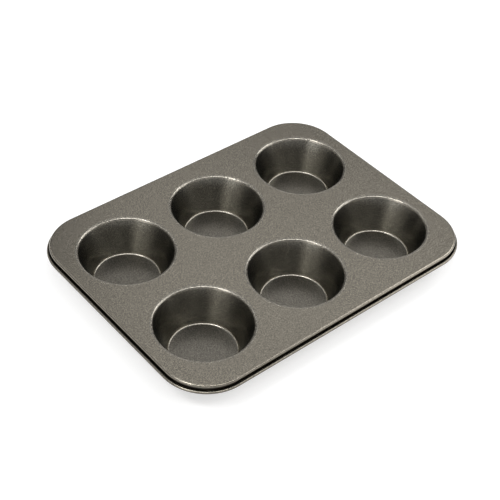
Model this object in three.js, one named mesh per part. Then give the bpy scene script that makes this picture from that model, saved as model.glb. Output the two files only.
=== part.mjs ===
// Six-cup muffin pan in coated sheet steel: a pressed deck whose rim is curled round a wire,
// and six drawn cups whose curled lips grip an upturned neck round each hole of the deck.
// Millimetres, +Z up. The origin is on the table, under the middle of the pan.

import * as THREE from "three";
import { mergeGeometries } from "three/addons/utils/BufferGeometryUtils.js";

// Cups, named as seen from the front of the pan
const ROWS = ["front", "back"];
const PLACES = ["left", "middle", "right"];
const MOUTH_DIAMETER = 93; // inside, where the wall's line meets the top of the deck
const BASE_DIAMETER = 65; // inside, where the wall's line meets the base
const CUP_DEPTH = 35.3; // from the top of the deck to the inside of the base
const WEB_ALONG = 17.3; // between the mouths of neighbours in a row
const WEB_ACROSS = 27.4; // between the mouths of neighbouring rows
const END_MARGIN = 18.2; // from the end mouths to the outside of the rim
const SIDE_MARGIN = 26.5; // from the side mouths to the outside of the rim

// Sheet, with each bend given by its inside radius
const DECK_SHEET = 0.5;
const CUP_SHEET = 0.5;
const BASE_BEND = 2; // foot of a cup's wall
const LIP_BEND = 1.7; // from a cup's wall out to the crest of its lip
const LEG_BEND = 0.2; // from the crest down into the leg of the curl
const GROOVE_BEND = 0.1; // from the deck down into the groove round a mouth
const SHOULDER_BEND = 1.5; // from the deck down into the skirt

// Seam between a cup and the deck
const LEG_LENGTH = 1.7; // from the crest of the lip to the edge of the curl
const SEAM_CLEARANCE = 0.3; // between the curl, the neck and the groove

// Skirt and wired rim
const CORNER_RADIUS = 45; // of the skirt's outer face, in plan
const RIM_DROP = 6.8; // from the top of the deck to the middle of the wire
const WIRE_DIAMETER = 1.5;
const WIRE_CLEARANCE = 0.25; // between the wire and the curl round it
const WIRE_END_GAP = 1; // between the two ends of the bent wire
const CURL_MOUTH = 0.4; // between the edge of the rim's curl and the skirt

// Facets
const ROUND_FACETS = 32;
const CORNER_FACETS = 8;
const BEND_FACETS = 2;
const TIGHT_BEND_FACETS = 1;
const CURL_FACETS = 10;
const WIRE_FACETS = 8;

// Directions in a section, in degrees from straight out
const OUT = 0;
const UP = 90;
const IN = 180;
const DOWN = -90;
const FULL_TURN = 360;

// Layout
const pitchAlong = MOUTH_DIAMETER + WEB_ALONG;
const pitchAcross = MOUTH_DIAMETER + WEB_ACROSS;
const panLength = (PLACES.length - 1) * pitchAlong + MOUTH_DIAMETER + 2 * END_MARGIN;
const panWidth = (ROWS.length - 1) * pitchAcross + MOUTH_DIAMETER + 2 * SIDE_MARGIN;
const deckTop = CUP_SHEET + CUP_DEPTH;

// Cup wall: its lean from the vertical, and the centres of the bends at its two ends
const wallLean = Math.atan2((MOUTH_DIAMETER - BASE_DIAMETER) / 2, CUP_DEPTH);
const wallLeanDegrees = THREE.MathUtils.radToDeg(wallLean);
const tangentLength = Math.tan((Math.PI / 2 - wallLean) / 2); // of a bend of unit radius
const lipOutside = LIP_BEND + CUP_SHEET;
const crestRadius = MOUTH_DIAMETER / 2 + lipOutside * tangentLength;
const footRadius = BASE_DIAMETER / 2 - BASE_BEND * tangentLength;

// Seam: the neck stands under the crest, inside the leg of the curl, and the groove takes the leg
const neckInside = crestRadius;
const neckOutside = neckInside + DECK_SHEET;
const legInside = neckOutside + SEAM_CLEARANCE;
const legOutside = legInside + CUP_SHEET;
const grooveOutside = legOutside + SEAM_CLEARANCE;
const legEnd = deckTop - LEG_LENGTH;
const grooveFloor = legEnd - SEAM_CLEARANCE;
const neckTop = deckTop - CUP_SHEET - SEAM_CLEARANCE;

// Rim: the skirt stands inside the pan's outline by the reach of the curl
const curlInside = WIRE_DIAMETER / 2 + WIRE_CLEARANCE;
const curlOutside = curlInside + DECK_SHEET;
const wireOffset = curlInside; // from the skirt's outer face out to the middle of the wire
const wireHeight = deckTop - RIM_DROP;
const skirtInset = wireOffset + curlOutside;
const cornerX = panLength / 2 - skirtInset - CORNER_RADIUS;
const cornerY = panWidth / 2 - skirtInset - CORNER_RADIUS;

// Points of an arc in a section, from one direction round to another.
function arc(centreR, centreZ, radius, from, to, facets) {
  return Array.from({ length: facets + 1 }, (_, i) => {
    const angle = THREE.MathUtils.degToRad(from + ((to - from) * i) / facets);
    return new THREE.Vector2(centreR + radius * Math.cos(angle), centreZ + radius * Math.sin(angle));
  });
}

// Skin over rings of equally many points. It faces out where the section runs clockwise.
function loft(rings) {
  const around = rings[0].length;
  const index = [];
  for (let row = 0; row + 1 < rings.length; row++) {
    const here = row * around;
    const there = here + around;
    for (let k = 0; k < around; k++) {
      const next = (k + 1) % around;
      index.push(there + k, there + next, here + k);
      index.push(here + k, there + next, here + next);
    }
  }
  return new THREE.BufferGeometry().setFromPoints(rings.flat()).setIndex(index);
}

// Flat face inside an outline, with holes, that faces up or down. All rings run anticlockwise.
function plate(outline, holes, facesUp) {
  const turned = holes.map((hole) => [...hole].reverse());
  const faces = THREE.ShapeUtils.triangulateShape(outline, turned);
  const index = faces.flatMap(([a, b, c]) => (facesUp ? [a, b, c] : [a, c, b]));
  return new THREE.BufferGeometry().setFromPoints([outline, ...turned].flat()).setIndex(index);
}

// Ring round a cup's axis.
function circle(centre, radius, height) {
  return Array.from({ length: ROUND_FACETS }, (_, i) => {
    const angle = (2 * Math.PI * i) / ROUND_FACETS;
    const x = centre.x + radius * Math.cos(angle);
    const y = centre.y + radius * Math.sin(angle);
    return new THREE.Vector3(x, y, height);
  });
}

// Places round the four corners, anticlockwise from the middle of the back: each has a centre to
// measure from and a direction to measure in.
function cornerStations() {
  const corners = [[-1, 1], [-1, -1], [1, -1], [1, 1]];
  return corners.flatMap(([sideX, sideY], quarter) =>
    Array.from({ length: CORNER_FACETS + 1 }, (_, i) => ({
      x: sideX * cornerX,
      y: sideY * cornerY,
      angle: (Math.PI / 2) * (1 + quarter + i / CORNER_FACETS),
    })),
  );
}

// Point of a section at a station, where the section is measured out from the skirt's outer face.
function atStation(station, { x: out, y: height }) {
  const reach = CORNER_RADIUS + out;
  const x = station.x + reach * Math.cos(station.angle);
  const y = station.y + reach * Math.sin(station.angle);
  return new THREE.Vector3(x, y, height);
}

// Ring round the whole plan through one point of a section.
function planRing(point) {
  return cornerStations().map((station) => atStation(station, point));
}

function cupCentres() {
  return ROWS.flatMap((row, j) =>
    PLACES.map((place, i) => ({
      name: `cup_${row}_${place}`,
      x: (i - (PLACES.length - 1) / 2) * pitchAlong,
      y: (j - (ROWS.length - 1) / 2) * pitchAcross,
    })),
  );
}

// Drawn cup: along the underside, up the outside, over the curled lip and down the inside.
function cupSection() {
  const footHeight = CUP_SHEET + BASE_BEND;
  const lipHeight = deckTop - lipOutside;
  const legBend = LEG_BEND + CUP_SHEET;
  const wallOut = OUT - wallLeanDegrees;
  const wallIn = IN - wallLeanDegrees;
  return [
    new THREE.Vector2(0, 0),
    ...arc(footRadius, footHeight, BASE_BEND + CUP_SHEET, DOWN, wallOut, BEND_FACETS),
    ...arc(crestRadius, lipHeight, LIP_BEND, wallIn, UP, BEND_FACETS),
    new THREE.Vector2(legInside, deckTop - CUP_SHEET),
    new THREE.Vector2(legInside, legEnd),
    new THREE.Vector2(legOutside, legEnd),
    ...arc(legOutside - legBend, deckTop - legBend, legBend, OUT, UP, BEND_FACETS),
    ...arc(crestRadius, lipHeight, lipOutside, UP, wallIn, BEND_FACETS),
    ...arc(footRadius, footHeight, BASE_BEND, wallOut, DOWN, BEND_FACETS),
    new THREE.Vector2(0, CUP_SHEET),
  ];
}

function cupGeometry() {
  const axisUp = Math.PI / 2;
  return new THREE.LatheGeometry(cupSection(), ROUND_FACETS).rotateX(axisUp);
}

// Deck round one mouth: down the groove's underside, up the neck, and up the groove to the top.
function mouthSection() {
  const grooveBend = GROOVE_BEND + DECK_SHEET;
  const bendRadius = grooveOutside + grooveBend;
  const bendHeight = deckTop - grooveBend;
  return [
    ...arc(bendRadius, bendHeight, GROOVE_BEND, UP, IN, TIGHT_BEND_FACETS),
    ...arc(grooveOutside, grooveFloor, DECK_SHEET, OUT, DOWN, TIGHT_BEND_FACETS),
    ...arc(neckOutside, grooveFloor, DECK_SHEET, DOWN, -IN, TIGHT_BEND_FACETS),
    new THREE.Vector2(neckInside, neckTop),
    new THREE.Vector2(neckOutside, neckTop),
    new THREE.Vector2(neckOutside, grooveFloor),
    new THREE.Vector2(grooveOutside, grooveFloor),
    ...arc(bendRadius, bendHeight, grooveBend, IN, UP, BEND_FACETS),
  ];
}

// Deck's edge: over the shoulder, down the skirt, round the inside of the curl and back outside it.
function rimSection() {
  const shoulder = SHOULDER_BEND + DECK_SHEET;
  const mouthAngle = Math.acos((CURL_MOUTH - wireOffset) / curlOutside);
  const curlEnd = FULL_TURN + THREE.MathUtils.radToDeg(mouthAngle);
  return [
    ...arc(-shoulder, deckTop - shoulder, shoulder, UP, OUT, BEND_FACETS),
    ...arc(wireOffset, wireHeight, curlInside, IN, curlEnd, CURL_FACETS),
    ...arc(wireOffset, wireHeight, curlOutside, curlEnd, IN, CURL_FACETS),
    ...arc(-shoulder, deckTop - shoulder, SHOULDER_BEND, OUT, UP, BEND_FACETS),
  ];
}

function deckGeometry(centres) {
  const rim = rimSection().map(planRing);
  const mouths = centres.map((centre) => mouthSection().map(({ x, y }) => circle(centre, x, y)));
  const upper = plate(rim[0], mouths.map((rings) => rings.at(-1)), true);
  const under = plate(rim.at(-1), mouths.map((rings) => rings[0]), false);
  return mergeGeometries([upper, under, loft(rim), ...mouths.map(loft)]);
}

// Wire of the rim, bent to the plan, with its two ends facing each other at the middle of the back.
function wireGeometry() {
  const section = arc(wireOffset, wireHeight, WIRE_DIAMETER / 2, OUT, FULL_TURN, WIRE_FACETS).slice(1);
  const middle = { y: cornerY, angle: Math.PI / 2 };
  const stations = [
    { ...middle, x: -WIRE_END_GAP / 2 },
    ...cornerStations(),
    { ...middle, x: WIRE_END_GAP / 2 },
  ];
  const rings = stations.map((station) => section.map((point) => atStation(station, point)));
  const start = section.slice(2).flatMap((_, k) => [0, k + 1, k + 2]);
  const end = section.slice(2).flatMap((_, k) => [0, k + 2, k + 1]);
  return mergeGeometries([
    new THREE.BufferGeometry().setFromPoints(rings[0]).setIndex(start),
    loft(rings),
    new THREE.BufferGeometry().setFromPoints(rings.at(-1)).setIndex(end),
  ]);
}

function coatedSteel() {
  return new THREE.MeshStandardMaterial({ color: 0x7c766b, roughness: 0.42, metalness: 0.65 });
}

function bareSteel() {
  return new THREE.MeshStandardMaterial({ color: 0x9a9a98, roughness: 0.35, metalness: 1 });
}

function piece(name, geometry, material) {
  const mesh = new THREE.Mesh(geometry, material);
  mesh.name = name;
  return mesh;
}

const pan = new THREE.Group();
const centres = cupCentres();
pan.add(piece("deck", deckGeometry(centres), coatedSteel()));
pan.add(piece("rim_wire", wireGeometry(), bareSteel()));
for (const { name, x, y } of centres) {
  const cup = piece(name, cupGeometry(), coatedSteel());
  cup.position.set(x, y, 0);
  pan.add(cup);
}

export default pan;
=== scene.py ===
"""Looks of a six-cup muffin pan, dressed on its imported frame. Lengths are metres, +Z is up."""
import math

import bmesh
import bpy
from mathutils import Matrix, Vector
from mathutils.geometry import tessellate_polygon


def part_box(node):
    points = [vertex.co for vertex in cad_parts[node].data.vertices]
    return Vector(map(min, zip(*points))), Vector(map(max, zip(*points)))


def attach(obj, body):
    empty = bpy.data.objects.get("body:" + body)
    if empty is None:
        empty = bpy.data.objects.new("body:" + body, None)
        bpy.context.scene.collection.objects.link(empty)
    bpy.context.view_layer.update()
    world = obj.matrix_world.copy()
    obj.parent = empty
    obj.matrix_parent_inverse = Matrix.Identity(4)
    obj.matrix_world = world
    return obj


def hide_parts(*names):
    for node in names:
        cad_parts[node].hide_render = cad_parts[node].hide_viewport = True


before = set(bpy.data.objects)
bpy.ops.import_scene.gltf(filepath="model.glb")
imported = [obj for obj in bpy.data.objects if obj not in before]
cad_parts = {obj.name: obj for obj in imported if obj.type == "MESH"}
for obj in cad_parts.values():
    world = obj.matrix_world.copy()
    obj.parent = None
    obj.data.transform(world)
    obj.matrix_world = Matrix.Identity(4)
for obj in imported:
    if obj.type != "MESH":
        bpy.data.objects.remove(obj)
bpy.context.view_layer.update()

MM = 0.001

# Cups: inside diameters where the wall's line meets the top of the deck and the base
MOUTH_DIAMETER = 93 * MM
BASE_DIAMETER = 65 * MM

# Sheet, with each bend given by its inside radius
DECK_SHEET = 0.5 * MM
CUP_SHEET = 0.5 * MM
BASE_BEND = 2 * MM
LIP_BEND = 1.7 * MM
GROOVE_BEND = 0.1 * MM
SHOULDER_BEND = 1.5 * MM

# Seam between a cup and the deck, pressed tight and closed by the coating
LEG_LENGTH = 1.7 * MM
SEAM_CLEARANCE = 0.02 * MM
SEAM_EDGE = 0.1 * MM  # rounding of the two edges that meet in the seam

# Skirt and wired rim
CORNER_RADIUS = 45 * MM
WIRE_CLEARANCE = 0.25 * MM
WIRE_END_GAP = 1 * MM
CURL_MOUTH = 0.4 * MM  # left open between the skirt and the end of the curl

# Fineness of the meshes
ROUND_STEPS = 128
CORNER_STEPS = 24
WIRE_STEPS = 16
BEND_STEP = 9  # degrees
LONG_RUN = 0.9 * MM  # a straight run longer than this gets a guard point near each end
GUARD = 0.2 * MM  # from a guard point to the end of its run
SHARP_ANGLE = math.radians(40)

# Directions in a section, in degrees from straight out
OUT, UP, IN, DOWN, FULL_TURN = 0, 90, 180, -90, 360

# Sizes that the frame gives
deck_low, deck_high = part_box("deck")
wire_low, wire_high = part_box("rim_wire")
deck_top = deck_high.z
wire_height = (wire_low.z + wire_high.z) / 2
wire_diameter = wire_high.z - wire_low.z
cup_names = sorted(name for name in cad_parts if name.startswith("cup_"))
cup_centres = {name: sum(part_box(name), Vector()) / 2 for name in cup_names}

# Cup wall: its lean from the vertical, and the centres of the bends at its two ends
cup_depth = deck_top - CUP_SHEET
wall_lean = math.atan2((MOUTH_DIAMETER - BASE_DIAMETER) / 2, cup_depth)
wall_out = OUT - math.degrees(wall_lean)
wall_in = IN - math.degrees(wall_lean)
tangent_share = math.tan((math.pi / 2 - wall_lean) / 2)  # a bend's tangent for its radius
lip_outside = LIP_BEND + CUP_SHEET
crest_radius = MOUTH_DIAMETER / 2 + lip_outside * tangent_share
foot_radius = BASE_DIAMETER / 2 - BASE_BEND * tangent_share

# Seam: the neck stands under the crest, inside the leg of the curl, and the groove takes the leg
neck_inside = crest_radius
neck_outside = neck_inside + DECK_SHEET
leg_inside = neck_outside + SEAM_CLEARANCE
leg_outside = leg_inside + CUP_SHEET
groove_outside = leg_outside + SEAM_CLEARANCE
leg_end = deck_top - LEG_LENGTH
groove_floor = leg_end - SEAM_CLEARANCE
neck_top = deck_top - CUP_SHEET - SEAM_CLEARANCE

# Rim: the skirt stands inside the pan's outline by the reach of the curl
curl_inside = wire_diameter / 2 + WIRE_CLEARANCE
curl_outside = curl_inside + DECK_SHEET
wire_offset = curl_inside
skirt_inset = wire_offset + curl_outside
corner_x = deck_high.x - skirt_inset - CORNER_RADIUS
corner_y = deck_high.y - skirt_inset - CORNER_RADIUS
bead_top = wire_height + curl_outside


def arc(centre, radius, start, end):
    """Points of a bend in a section, from one direction round to another."""
    steps = math.ceil(abs(end - start) / BEND_STEP)
    turns = [math.radians(start + (end - start) * i / steps) for i in range(steps + 1)]
    return [(centre[0] + radius * math.cos(t), centre[1] + radius * math.sin(t)) for t in turns]


def guarded(section):
    """The section with points near the ends of its straight runs, so that flat faces shade flat."""
    points = [section[0]]
    for here, there in zip(section, section[1:]):
        run = math.dist(here, there)
        if run > LONG_RUN:
            for share in (GUARD / run, 1 - GUARD / run):
                points.append(tuple(a + (b - a) * share for a, b in zip(here, there)))
        points.append(there)
    return points


def cup_section():
    """From the base's outside edge up the outside, over the curled lip and down to its inside edge."""
    foot = (foot_radius, CUP_SHEET + BASE_BEND)
    lip = (crest_radius, deck_top - lip_outside)
    return guarded([
        (foot_radius - GUARD, 0),
        *arc(foot, BASE_BEND + CUP_SHEET, DOWN, wall_out),
        *arc(lip, LIP_BEND, wall_in, UP),
        (leg_inside, deck_top - CUP_SHEET),
        (leg_inside, leg_end),
        (leg_outside, leg_end),
        *arc((leg_outside - SEAM_EDGE, deck_top - SEAM_EDGE), SEAM_EDGE, OUT, UP),
        *arc(lip, lip_outside, UP, wall_in),
        *arc(foot, BASE_BEND, wall_out, DOWN),
        (foot_radius - GUARD, CUP_SHEET),
    ])


def mouth_section():
    """From the deck's underside down the groove's underside, up the neck, and up the groove to the top."""
    bend = GROOVE_BEND + DECK_SHEET
    centre = (groove_outside + bend, deck_top - bend)
    return guarded([
        (centre[0] + GUARD, deck_top - DECK_SHEET),
        *arc(centre, GROOVE_BEND, UP, IN),
        *arc((groove_outside, groove_floor), DECK_SHEET, OUT, DOWN),
        *arc((neck_outside, groove_floor), DECK_SHEET, DOWN, -IN),
        (neck_inside, neck_top),
        (neck_outside, neck_top),
        (neck_outside, groove_floor),
        (groove_outside, groove_floor),
        *arc((groove_outside + SEAM_EDGE, deck_top - SEAM_EDGE), SEAM_EDGE, IN, UP),
        (centre[0] + GUARD, deck_top),
    ])


def rim_section():
    """From the deck's top over the shoulder, down the skirt, round inside the curl and back outside it."""
    bend = SHOULDER_BEND + DECK_SHEET
    shoulder = (-bend, deck_top - bend)
    wire = (wire_offset, wire_height)
    curl_end = FULL_TURN + math.degrees(math.acos((CURL_MOUTH - wire_offset) / curl_outside))
    return guarded([
        (-bend - GUARD, deck_top),
        *arc(shoulder, bend, UP, OUT),
        *arc(wire, curl_inside, IN, curl_end),
        *arc(wire, curl_outside, curl_end, IN),
        *arc(shoulder, SHOULDER_BEND, OUT, UP),
        (-bend - GUARD, deck_top - DECK_SHEET),
    ])


def circle(centre, radius, height):
    """Ring round a cup's axis."""
    turns = [2 * math.pi * i / ROUND_STEPS for i in range(ROUND_STEPS)]
    return [(centre.x + radius * math.cos(t), centre.y + radius * math.sin(t), height) for t in turns]


def corner_stations():
    """Places round the four corners, anticlockwise from the middle of the back: x, y and direction."""
    corners = [(-1, 1), (-1, -1), (1, -1), (1, 1)]
    return [
        (side_x * corner_x, side_y * corner_y, math.pi / 2 * (1 + quarter + i / CORNER_STEPS))
        for quarter, (side_x, side_y) in enumerate(corners)
        for i in range(CORNER_STEPS + 1)
    ]


def at_station(station, point):
    """Point of a section at a station, where the section is measured out from the skirt's face."""
    x, y, turn = station
    reach = CORNER_RADIUS + point[0]
    return x + reach * math.cos(turn), y + reach * math.sin(turn), point[1]


def skin(rings, vertices, faces):
    """Lofts closed rings of equally many points, and gives the numbers of each ring's points."""
    around = len(rings[0])
    loops = []
    for ring in rings:
        loops.append(range(len(vertices), len(vertices) + around))
        vertices.extend(ring)
    for here, there in zip(loops, loops[1:]):
        for k in range(around):
            after = (k + 1) % around
            faces.append((here[k], here[after], there[after], there[k]))
    return loops


def plate(loops, vertices, faces):
    """Fills the flat face between an outline and the holes in it."""
    numbers = [number for loop in loops for number in loop]
    outlines = [[Vector(vertices[number]) for number in loop] for loop in loops]
    for triangle in tessellate_polygon(outlines):
        faces.append([numbers[corner] for corner in triangle])


def disc(loop, centre, vertices, faces):
    """Fills a ring with a fan round its centre."""
    vertices.append(centre)
    for k, number in enumerate(loop):
        faces.append((number, loop[(k + 1) % len(loop)], len(vertices) - 1))


def add_object(name, data):
    """Adds a mesh, a camera or a lamp to the scene."""
    thing = bpy.data.objects.new(name, data)
    bpy.context.collection.objects.link(thing)
    return thing


def add_piece(node, vertices, faces, material):
    """Adds a mesh that stands for one node of the frame."""
    mesh = bpy.data.meshes.new(f"{node}_fine")
    mesh.from_pydata(vertices, [], faces)
    shape = bmesh.new()
    shape.from_mesh(mesh)
    bmesh.ops.recalc_face_normals(shape, faces=shape.faces)
    shape.to_mesh(mesh)
    shape.free()
    mesh.shade_smooth()
    mesh.set_sharp_from_angle(angle=SHARP_ANGLE)
    mesh.materials.append(material)
    piece = add_object(f"{node}_fine", mesh)
    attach(piece, "root")
    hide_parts(node)


def add_deck(material):
    """Deck, one closed skin from the curl of its rim to its necks."""
    vertices, faces = [], []
    stations = corner_stations()
    rim = skin([[at_station(s, point) for s in stations] for point in rim_section()], vertices, faces)
    mouths = [
        skin([circle(centre, *point) for point in mouth_section()], vertices, faces)
        for centre in cup_centres.values()
    ]
    plate([rim[0], *(loops[-1] for loops in mouths)], vertices, faces)
    plate([rim[-1], *(loops[0] for loops in mouths)], vertices, faces)
    add_piece("deck", vertices, faces, material)


def add_cup(node, material):
    """Cup, with a flat base, a tapered wall and a lip curled over the deck's neck."""
    vertices, faces = [], []
    centre = cup_centres[node]
    loops = skin([circle(centre, *point) for point in cup_section()], vertices, faces)
    disc(loops[0], (centre.x, centre.y, 0), vertices, faces)
    disc(loops[-1], (centre.x, centre.y, CUP_SHEET), vertices, faces)
    add_piece(node, vertices, faces, material)


def add_wire(material):
    """Wire of the rim, whose two ends face each other at the middle of the back."""
    vertices, faces = [], []
    turns = [math.radians(FULL_TURN * i / WIRE_STEPS) for i in range(WIRE_STEPS)]
    radius = wire_diameter / 2
    section = [(wire_offset + radius * math.cos(t), wire_height + radius * math.sin(t)) for t in turns]
    ends = [(side * WIRE_END_GAP / 2, corner_y, math.pi / 2) for side in (-1, 1)]
    stations = [ends[0], *corner_stations(), ends[1]]
    loops = skin([[at_station(s, point) for point in section] for s in stations], vertices, faces)
    faces.extend([list(loops[0]), list(loops[-1])])
    add_piece("rim_wire", vertices, faces, material)


def add_node(tree, kind, links=(), **values):
    """Adds a shader node, sets its inputs by name and joins sockets of other nodes to them."""
    node = tree.nodes.new(kind)
    for name, value in values.items():
        node.inputs[name].default_value = value
    for name, socket in dict(links).items():
        tree.links.new(socket, node.inputs[name])
    return node


def added(tree, first, second):
    """The sum of two values."""
    return add_node(tree, "ShaderNodeMath", {0: first, 1: second}).outputs[0]


def remapped(tree, value, start, end):
    """A value carried from one range to another, and held at its ends."""
    limits = dict(zip(("From Min", "From Max", "To Min", "To Max"), (*start, *end)))
    return add_node(tree, "ShaderNodeMapRange", {"Value": value}, **limits).outputs["Result"]


def noise(tree, place, width, detail):
    """Noise with grains of a given width."""
    node = add_node(tree, "ShaderNodeTexNoise", {"Vector": place}, Scale=1 / width, Detail=detail)
    return node.outputs["Fac"]


def ramp(tree, value, stops):
    """A colour that follows a value between given stops."""
    node = add_node(tree, "ShaderNodeValToRGB", {"Fac": value})
    elements = node.color_ramp.elements
    for element, (position, colour) in zip(elements, (stops[0], stops[-1])):
        element.position, element.color = position, colour
    for position, colour in stops[1:-1]:
        elements.new(position).color = colour
    return node.outputs["Color"]


def new_material(name):
    """A material with an empty node tree, and that tree."""
    material = bpy.data.materials.new(name)
    material.use_nodes = True
    material.node_tree.nodes.clear()
    return material, material.node_tree


def add_shader(tree, links, **values):
    """Adds a material's one shader and its output."""
    shader = add_node(tree, "ShaderNodeBsdfPrincipled", links, **values)
    add_node(tree, "ShaderNodeOutputMaterial", {"Surface": shader.outputs["BSDF"]})


def grey(tone):
    return tone, tone, tone, 1


WHITE = grey(1)

# Non-stick coating: warm grey metallic paint with flakes about as wide as a grain of sand.
# The colours are those of the dark, the middling and the light flakes.
DECK_COLOURS = (
    (0.206, 0.189, 0.158, 1),
    (0.294, 0.27, 0.225, 1),
    (0.409, 0.375, 0.313, 1),
)
# The cups' colours are lightened as a painted highlight for their bends; their painted shade darkens the
# rest
CUP_COLOURS = (
    (0.243, 0.227, 0.196, 1),
    (0.38, 0.355, 0.306, 1),
    (0.562, 0.525, 0.453, 1),
)
FLAKE_RANGE = (0.35, 0.5, 0.65)  # noise that gives each of the three
FLAKE_WIDTH = 1.0 * MM
FLAKE_DETAIL = 3
GRAIN_TURN = (0.5, 0.6, 0.7)  # turns the noise, so that no flat face lies along its grid
COATING_METALLIC = 1
COATING_ROUGHNESS = (0.22, 0.28)
BASE_ROUGHNESS = 0.04  # added on the cups' bases
BASE_LEVELS = (0.6 * MM, 0.9 * MM)  # between which it fades up into the wall

# Orange peel in the coating's surface
PEEL_WIDTH = 1.2 * MM
PEEL_DETAIL = 2
PEEL_HEIGHT = 0.005 * MM

# Painted shade of the coating by height, multiplied into its colour and its specular tint. The deck's is a
# painted dark reflection in the fold above the bead, with a painted dark line along the bead.
# The cups' is a painted highlight on their two bends, which keep the full lightened colour, and painted
# shade that darkens the walls, the bases and the top of the lip.
# Tones of the painted shade; SHADE_OPEN leaves the colour unchanged
SHADE_OPEN = WHITE
PAINTED_BEAD_LINE_SHADE = grey(0.45)
PAINTED_FOLD_SHADE = grey(0.1)
PAINTED_SKIRT_SHADE = grey(0.35)
PAINTED_CREST_SHADE = grey(0.84)
PAINTED_WALL_SHADE = (0.597, 0.613, 0.622, 1)
PAINTED_BASE_SHADE = grey(0.525)
# Painted shade on the deck: a dark line along the bead, and the skirt darkened above it as a painted dark
# reflection
DECK_PAINTED_SHADES = (
    (wire_height - 1.0 * MM, SHADE_OPEN),
    (wire_height - 0.5 * MM, PAINTED_BEAD_LINE_SHADE),
    (wire_height + 0.3 * MM, PAINTED_BEAD_LINE_SHADE),
    (wire_height + 0.75 * MM, SHADE_OPEN),
    (bead_top - 0.1 * MM, SHADE_OPEN),
    (bead_top, PAINTED_FOLD_SHADE),
    (deck_top - 3.0 * MM, PAINTED_FOLD_SHADE),
    (deck_top - 1.9 * MM, PAINTED_SKIRT_SHADE),
    (deck_top - 1.0 * MM, SHADE_OPEN),
)
# Painted light on the cups: lip and base bends left light as a painted highlight, walls, bases and lip top
# darkened as painted shade
CUP_PAINTED_LIGHT_AND_SHADE = (
    (0.76 * MM, PAINTED_BASE_SHADE),
    (0.85 * MM, SHADE_OPEN),
    (1.8 * MM, SHADE_OPEN),
    (3.0 * MM, PAINTED_WALL_SHADE),
    (deck_top - 2.8 * MM, PAINTED_WALL_SHADE),
    (deck_top - 1.8 * MM, SHADE_OPEN),
    (deck_top - 0.5 * MM, SHADE_OPEN),
    (deck_top - 0.15 * MM, PAINTED_CREST_SHADE),
)


def with_painted_shade(tree, colour, height, painted_shades):
    """A colour with painted shade by height, and the painted shade alone."""
    share = remapped(tree, height, (0, deck_top), (0, 1))
    shade = ramp(tree, share, [(level / deck_top, tone) for level, tone in painted_shades])
    mix = tree.nodes.new("ShaderNodeMix")
    mix.data_type, mix.blend_type = "RGBA", "MULTIPLY"
    mix.inputs["Factor"].default_value = 1
    tree.links.new(colour, mix.inputs["A"])
    tree.links.new(shade, mix.inputs["B"])
    return mix.outputs["Result"], shade


def coating(name, colours, painted_shades):
    """Paint with flakes, painted light and shade by height and a little orange peel."""
    material, tree = new_material(name)
    grid = tree.nodes.new("ShaderNodeTexCoord").outputs["Object"]
    height = add_node(tree, "ShaderNodeSeparateXYZ", {"Vector": grid}).outputs["Z"]
    place = add_node(tree, "ShaderNodeMapping", {"Vector": grid}, Rotation=GRAIN_TURN).outputs["Vector"]
    flakes = noise(tree, place, FLAKE_WIDTH, FLAKE_DETAIL)
    flake_colour = ramp(tree, flakes, list(zip(FLAKE_RANGE, colours)))
    colour, shade = with_painted_shade(tree, flake_colour, height, painted_shades)
    flake_roughness = remapped(tree, flakes, (0, 1), COATING_ROUGHNESS)
    base_roughness = remapped(tree, height, BASE_LEVELS, (BASE_ROUGHNESS, 0))
    peel = noise(tree, place, PEEL_WIDTH, PEEL_DETAIL)
    bump = add_node(tree, "ShaderNodeBump", {"Height": peel}, Distance=PEEL_HEIGHT)
    links = {
        "Base Color": colour,
        # the painted shade also darkens the specular tint
        "Specular Tint": shade,
        "Roughness": added(tree, flake_roughness, base_roughness),
        "Normal": bump.outputs["Normal"],
    }
    add_shader(tree, links, Metallic=COATING_METALLIC)
    return material


# Drawn steel wire with a fine grain
WIRE_DARK = (0.42, 0.42, 0.41, 1)
WIRE_LIGHT = (0.62, 0.62, 0.6, 1)
WIRE_METALLIC = 1
WIRE_ROUGHNESS = 0.32
WIRE_GRAIN = 0.15 * MM
WIRE_DETAIL = 2


def drawn_steel(name):
    """Bare steel with a fine light and dark grain."""
    material, tree = new_material(name)
    place = tree.nodes.new("ShaderNodeTexCoord").outputs["Object"]
    grain = noise(tree, place, WIRE_GRAIN, WIRE_DETAIL)
    colour = ramp(tree, grain, ((0, WIRE_DARK), (1, WIRE_LIGHT)))
    add_shader(tree, {"Base Color": colour}, Metallic=WIRE_METALLIC, Roughness=WIRE_ROUGHNESS)
    return material


# Floor: pale, with a white glow of its own in the picture and in reflections of it
FLOOR_SIZE = 8
FLOOR_DROP = 0.05 * MM
FLOOR_COLOUR = grey(0.6)
FLOOR_ROUGHNESS = 0.9
FLOOR_GLOW = 0.56


def add_floor():
    """Plain floor that keeps the pan's shadow."""
    material, tree = new_material("floor")
    rays = tree.nodes.new("ShaderNodeLightPath").outputs
    seen = rays["Is Camera Ray"]
    for ray in ("Is Glossy Ray", "Is Transmission Ray"):
        seen = added(tree, seen, rays[ray])
    glow = add_node(tree, "ShaderNodeMath", {0: seen})
    glow.operation = "MULTIPLY"
    glow.inputs[1].default_value = FLOOR_GLOW
    add_shader(tree, {"Emission Strength": glow.outputs[0]}, **{
        "Base Color": FLOOR_COLOUR, "Emission Color": WHITE, "Roughness": FLOOR_ROUGHNESS})
    half = FLOOR_SIZE / 2
    corners = [(x * half, y * half, -FLOOR_DROP) for x, y in ((-1, -1), (1, -1), (1, 1), (-1, 1))]
    mesh = bpy.data.meshes.new("floor")
    mesh.from_pydata(corners, [], [(0, 1, 2, 3)])
    mesh.materials.append(material)
    add_object("floor", mesh)


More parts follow.
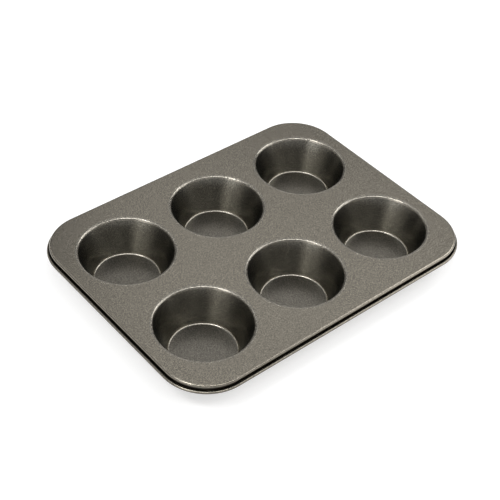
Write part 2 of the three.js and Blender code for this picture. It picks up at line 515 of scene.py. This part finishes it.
# Camera, with its angles in degrees: azimuth from the front towards the right, and roll anticlockwise
CAMERA_AZIMUTH = -41.902
CAMERA_ELEVATION = 42.335
CAMERA_ROLL = 3.544
CAMERA_DISTANCE = 1135.1 * MM
CAMERA_TARGET = (-15.765 * MM, -10.743 * MM, deck_top + 0.35 * MM)
CAMERA_LENS = 85.017  # for a sensor 36 mm wide


def towards(azimuth, elevation):
    """Unit direction seen at an azimuth from the front and an elevation, in degrees."""
    turn, rise = math.radians(azimuth), math.radians(elevation)
    return Vector((math.sin(turn) * math.cos(rise), -math.cos(turn) * math.cos(rise), math.sin(rise)))


def looking_back(place, direction, roll=0):
    """Placement of a camera or lamp that stands at a place and looks against a direction."""
    right = Vector((-direction.y, direction.x, 0)).normalized()
    axes = Matrix((right, direction.cross(right), direction)).transposed()
    turned = axes @ Matrix.Rotation(math.radians(roll), 3, "Z")
    return Matrix.Translation(place) @ turned.to_4x4()


def add_camera():
    """Camera of the main picture."""
    data = bpy.data.cameras.new("camera")
    data.lens = CAMERA_LENS
    camera = add_object("camera", data)
    back = towards(CAMERA_AZIMUTH, CAMERA_ELEVATION)
    place = Vector(CAMERA_TARGET) + back * CAMERA_DISTANCE
    camera.matrix_world = looking_back(place, back, CAMERA_ROLL)
    bpy.context.scene.camera = camera


# Soft boxes, all at one distance: azimuth, elevation, width, height and radiance
SOFT_BOX_DISTANCE = 5
SOFT_BOXES = {
    "key": (-88, 60, 1.5, 1.1, 11.5),
    "key_mid": (-88, 45, 1.65, 1.0, 2.4),
    "key_low": (-75, 17, 2.5, 2.95, 1.0),
    "key_side": (-115, 52, 1.5, 1.1, 1.5),
    "front": (-45, 62, 1.75, 1.25, 5.4),
    "front_side": (-10, 62, 1.75, 1.25, 4.0),
    "front_right": (10, 50, 2.0, 1.25, 2.8),
    "side_front": (43, 45, 2.4, 2.5, 1.7),
    "side": (73, 42, 1.75, 2.25, 0.8),
    "side_back": (93, 45, 1.75, 1.9, 4.4),
    "side_low": (53, 12, 3.6, 2.0, 1.6),
    "back_right": (108, 38, 1.75, 1.25, 0.1),
    "back": (136, 42, 2.25, 1.2, 0.68),
    "back_high": (136, 53, 2.0, 0.9, 0.4),
    "back_low": (136, 13, 2.5, 2.2, 0.62),
    "left": (-150, 46, 5.0, 2.6, 0.55),
    "left_back": (-178, 44, 1.5, 1.25, 0.9),
    "top": (158, 67, 1.55, 1.3, 2.4),
    "top_right": (110, 66, 1.55, 1.3, 0.8),
}


def add_lights():
    """Soft boxes that face the pan and stay out of the picture."""
    for name, (azimuth, elevation, width, height, radiance) in SOFT_BOXES.items():
        data = bpy.data.lights.new(name, "AREA")
        data.shape = "RECTANGLE"
        data.size, data.size_y = width, height
        data.energy = radiance * math.pi * width * height
        lamp = add_object(name, data)
        direction = towards(azimuth, elevation)
        lamp.matrix_world = looking_back(direction * SOFT_BOX_DISTANCE, direction)
        lamp.visible_camera = False


# Surroundings: white up to one elevation, fading to a dim ceiling at the next, in degrees
SKY_ELEVATIONS = (3, 9)
SKY_STRENGTHS = (1, 0.1)


def add_surroundings():
    """White room with a dim ceiling, which the coating mirrors."""
    world = bpy.data.worlds.new("studio")
    world.use_nodes = True
    tree = world.node_tree
    direction = tree.nodes.new("ShaderNodeTexCoord").outputs["Generated"]
    height = add_node(tree, "ShaderNodeSeparateXYZ", {"Vector": direction}).outputs["Z"]
    heights = [math.sin(math.radians(elevation)) for elevation in SKY_ELEVATIONS]
    sky = tree.nodes["Background"]
    sky.inputs["Color"].default_value = WHITE
    tree.links.new(remapped(tree, height, heights, SKY_STRENGTHS), sky.inputs["Strength"])
    bpy.context.scene.world = world


add_deck(coating("deck_paint", DECK_COLOURS, DECK_PAINTED_SHADES))
cup_paint = coating("cup_paint", CUP_COLOURS, CUP_PAINTED_LIGHT_AND_SHADE)
for cup_name in cup_names:
    add_cup(cup_name, cup_paint)
add_wire(drawn_steel("drawn_wire"))
add_floor()
add_camera()
add_lights()
add_surroundings()
bpy.context.scene.view_settings.view_transform = "Standard"
